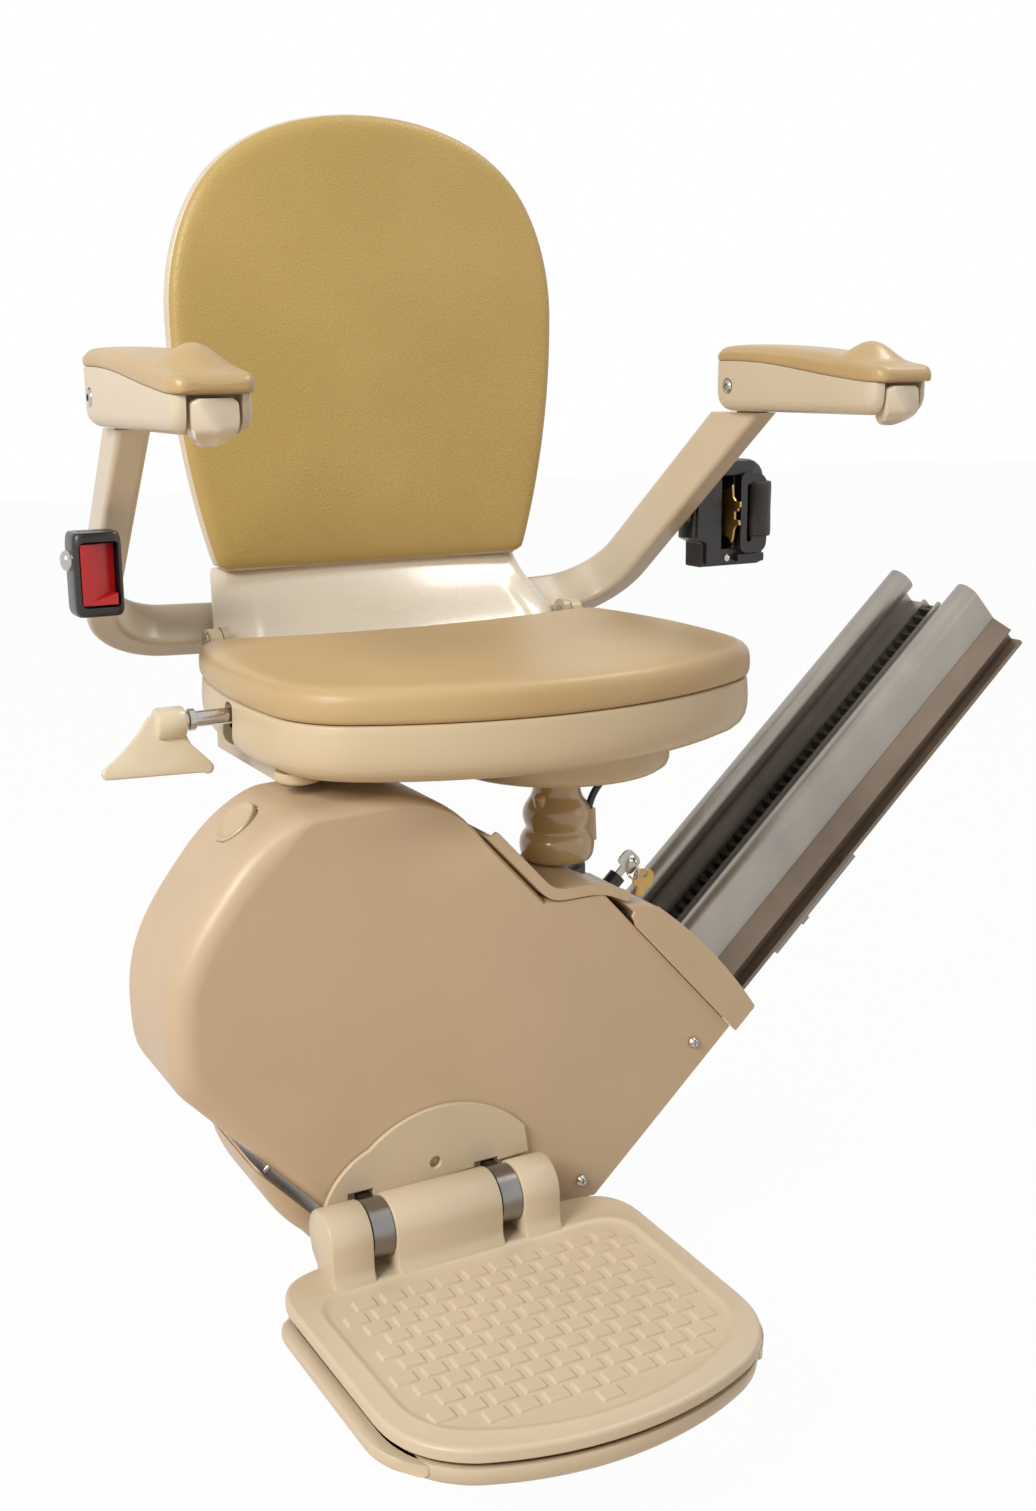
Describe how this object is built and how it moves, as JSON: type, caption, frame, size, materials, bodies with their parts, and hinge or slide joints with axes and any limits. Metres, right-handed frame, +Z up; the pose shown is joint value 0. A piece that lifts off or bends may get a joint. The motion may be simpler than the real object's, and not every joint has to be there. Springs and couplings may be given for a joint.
{
  "type": "stairlift chair",
  "caption": "Stairlift on a sloping rail: a carriage with rack drive carries a swivelling chair with folding seat, armrests and footplate.",
  "frame": {"origin": "middle of the flat underside of the rail, at the rail section that passes under the chair's centre plane", "axes": "+Z up, +X level and uphill along the staircase, -Y the way the rider faces; the rail climbs at 42.4 degrees in the X-Z plane"},
  "size_m": [0.8867, 0.6161, 0.9617],
  "materials": {
    "rail_aluminium": "satin anodised",
    "base_aluminium": "satin anodised, darker lower extrusion",
    "rack_steel": "machined",
    "steel": "zinc plated",
    "polished_steel": "polished",
    "plate_paint": "powder coated",
    "carriage_plastic": "satin moulded, warm beige",
    "beige_plastic": "satin moulded, warm beige",
    "ivory_plastic": "glossy moulded ivory",
    "bar_paint": "satin paint, warm beige",
    "footplate_plastic": "satin moulded",
    "gaiter_rubber": "soft moulded, beige",
    "roller_plastic": "hard white polymer",
    "black_plastic": "satin black",
    "battery_plastic": "matt black",
    "board_green": "circuit board",
    "motor_paint": "black paint",
    "cast_alloy": "as cast",
    "back_vinyl": "fine-grained vinyl, mustard tan",
    "seat_vinyl": "smooth vinyl, tan",
    "armrest_foam": "self-skinned foam, tan",
    "button_red": "moulded red",
    "key_brass": "plated",
    "tongue_brass": "plated, gold",
    "webbing": "woven belt webbing"
  },
  "bodies": {
    "rail": {"rail_upper_low": "rail_aluminium", "rail_upper_high": "rail_aluminium", "rail_base_low": "base_aluminium", "rail_base_high": "base_aluminium", "drive_rack": "rack_steel", "rail_joiner_plate": "steel", "rail_joiner_screws": "steel"},
    "carriage": {"chassis_plate": "plate_paint", "seat_post": "polished_steel", "post_collar": "beige_plastic", "post_gaiter": "gaiter_rubber", "seat_cable": "black_plastic", "front_cover": "carriage_plastic", "cover_screws": "steel", "drive_motor": "motor_paint", "gearbox": "cast_alloy", "wheel_axles": "steel", "batteries": "battery_plastic", "control_board": "board_green", "key_switch": "black_plastic", "arch_plate": "carriage_plastic", "footplate_arms": "steel"},
    "winding_plug": {"hand_winding_plug": "carriage_plastic"},
    "output_gear": {"drive_gear": "rack_steel"},
    "climbing_pinion": {"rail_pinion": "rack_steel"},
    "upper_roller_downhill": {"upper_roller_low": "roller_plastic"},
    "upper_roller_uphill": {"upper_roller_high": "roller_plastic"},
    "lower_roller_downhill": {"lower_roller_low": "roller_plastic"},
    "lower_roller_uphill": {"lower_roller_high": "roller_plastic"},
    "uphill_edge": {"uphill_safety_pad": "beige_plastic"},
    "downhill_edge": {"downhill_safety_pad": "beige_plastic"},
    "lock_key": {"key": "key_brass"},
    "footrest": {"footplate": "footplate_plastic"},
    "footrest_pan": {"footplate_safety_pan": "footplate_plastic"},
    "chair": {"seat_plate": "plate_paint", "swivel_housing": "beige_plastic", "swivel_latch": "steel", "back_frame": "plate_paint", "back_shell": "beige_plastic", "lower_back_panel": "ivory_plastic", "backrest_cushion": "back_vinyl", "arm_bar_right": "bar_paint", "arm_bar_left": "bar_paint", "arm_pivot_bolts": "polished_steel", "seat_hinge_pins": "polished_steel", "belt_buckle": "black_plastic", "belt_retractor": "black_plastic", "belt_webbing": "webbing"},
    "lever": {"swivel_lever": "ivory_plastic"},
    "seat": {"seat_tray": "beige_plastic", "seat_cushion": "seat_vinyl"},
    "armrest_right": {"armrest_body_right": "beige_plastic", "armrest_pad_right": "armrest_foam"},
    "armrest_left": {"armrest_body_left": "beige_plastic", "armrest_pad_left": "armrest_foam"},
    "toggle_right": {"hand_toggle_right": "ivory_plastic"},
    "toggle_left": {"hand_toggle_left": "ivory_plastic"},
    "release_button": {"buckle_button": "button_red"},
    "tongue": {"belt_tongue": "tongue_brass"}
  },
  "joints": [
    {"name": "carriage_travel", "type": "slide", "parent": "rail", "child": "carriage", "axis": [0.7385, 0, 0.6743], "range_m": [0, 0.38]},
    {"name": "pinion_spin", "type": "hinge", "parent": "carriage", "child": "climbing_pinion", "pos_m": [-0.02366, 0.0295, 0.09709], "axis": [0, 1, 0], "range_deg": [0, 446]},
    {"name": "drive_gear_spin", "type": "hinge", "parent": "carriage", "child": "output_gear", "pos_m": [-0.07332, 0.0295, 0.15148], "axis": [0, 1, 0], "range_deg": [-891, 0]},
    {"name": "upper_roller_downhill_spin", "type": "hinge", "parent": "carriage", "child": "upper_roller_downhill", "pos_m": [-0.10064, -0.0355, 0.0331], "axis": [0, 1, 0], "range_deg": [0, 1363]},
    {"name": "upper_roller_uphill_spin", "type": "hinge", "parent": "carriage", "child": "upper_roller_uphill", "pos_m": [0.05444, -0.0355, 0.1747], "axis": [0, 1, 0], "range_deg": [0, 1363]},
    {"name": "lower_roller_downhill_spin", "type": "hinge", "parent": "carriage", "child": "lower_roller_downhill", "pos_m": [-0.04548, -0.0668, -0.02731], "axis": [-0.6743, 0, 0.7385], "range_deg": [0, 1817]},
    {"name": "lower_roller_uphill_spin", "type": "hinge", "parent": "carriage", "child": "lower_roller_uphill", "pos_m": [0.1096, -0.0668, 0.11429], "axis": [-0.6743, 0, 0.7385], "range_deg": [0, 1817]},
    {"name": "winding_plug_pull", "type": "slide", "parent": "carriage", "child": "winding_plug", "axis": [-0.6743, 0, 0.7385], "range_m": [0, 0.012]},
    {"name": "uphill_edge_press", "type": "slide", "parent": "carriage", "child": "uphill_edge", "axis": [-0.7385, 0, -0.6743], "range_m": [0, 0.004], "stiffness_N_per_m": 900, "springref_m": -0.006},
    {"name": "downhill_edge_press", "type": "slide", "parent": "carriage", "child": "downhill_edge", "axis": [0.7385, 0, 0.6743], "range_m": [0, 0.004], "stiffness_N_per_m": 900, "springref_m": -0.003},
    {"name": "key_turn", "type": "hinge", "parent": "carriage", "child": "lock_key", "pos_m": [0.05316, -0.0635, 0.29771], "axis": [0.7385, 0, 0.6743], "range_deg": [0, 90]},
    {"name": "footplate_fold", "type": "hinge", "parent": "carriage", "child": "footrest", "pos_m": [-0.18657, -0.1995, 0.11414], "axis": [-1, 0, 0], "range_deg": [0, 90]},
    {"name": "footplate_pan_lift", "type": "slide", "parent": "footrest", "child": "footrest_pan", "axis": [0, 0, 1], "range_m": [0, 0.004], "stiffness_N_per_m": 900, "springref_m": -0.004},
    {"name": "seat_swivel", "type": "hinge", "parent": "carriage", "child": "chair", "pos_m": [-0.01957, -0.0875, 0.41714], "axis": [0, 0, 1], "range_deg": [0, 75]},
    {"name": "swivel_lever_turn", "type": "hinge", "parent": "chair", "child": "lever", "pos_m": [-0.27957, -0.0575, 0.47114], "axis": [1, 0, 0], "range_deg": [-20, 20], "stiffness_Nm_per_rad": 2},
    {"name": "seat_fold", "type": "hinge", "parent": "chair", "child": "seat", "pos_m": [-0.07957, 0.0715, 0.50514], "axis": [-1, 0, 0], "range_deg": [0, 78]},
    {"name": "armrest_right_fold", "type": "hinge", "parent": "chair", "child": "armrest_right", "pos_m": [0.18293, -0.0635, 0.70114], "axis": [-1, 0, 0], "range_deg": [0, 90]},
    {"name": "armrest_left_fold", "type": "hinge", "parent": "chair", "child": "armrest_left", "pos_m": [-0.34207, -0.0635, 0.70114], "axis": [-1, 0, 0], "range_deg": [0, 90]},
    {"name": "toggle_right_tip", "type": "hinge", "parent": "armrest_right", "child": "toggle_right", "pos_m": [0.18293, -0.2435, 0.69214], "axis": [0, 1, 0], "range_deg": [-12, 12], "stiffness_Nm_per_rad": 0.2},
    {"name": "toggle_left_tip", "type": "hinge", "parent": "armrest_left", "child": "toggle_left", "pos_m": [-0.34207, -0.2435, 0.69214], "axis": [0, 1, 0], "range_deg": [-12, 12], "stiffness_Nm_per_rad": 0.2},
    {"name": "buckle_button_press", "type": "slide", "parent": "chair", "child": "release_button", "axis": [0, 1, 0], "range_m": [0, 0.003], "stiffness_N_per_m": 500, "springref_m": -0.002},
    {"name": "tongue_draw", "type": "slide", "parent": "chair", "child": "tongue", "axis": [0, -1, 0], "range_m": [0, 0.012]}
  ],
  "couplings": [
    {"joint": "pinion_spin", "follows": "carriage_travel", "rad_per_m": 20.408},
    {"joint": "drive_gear_spin", "follows": "carriage_travel", "rad_per_m": -40.816},
    {"joint": "upper_roller_downhill_spin", "follows": "carriage_travel", "rad_per_m": 62.5},
    {"joint": "upper_roller_uphill_spin", "follows": "carriage_travel", "rad_per_m": 62.5},
    {"joint": "lower_roller_downhill_spin", "follows": "carriage_travel", "rad_per_m": 83.333},
    {"joint": "lower_roller_uphill_spin", "follows": "carriage_travel", "rad_per_m": 83.333}
  ]
}
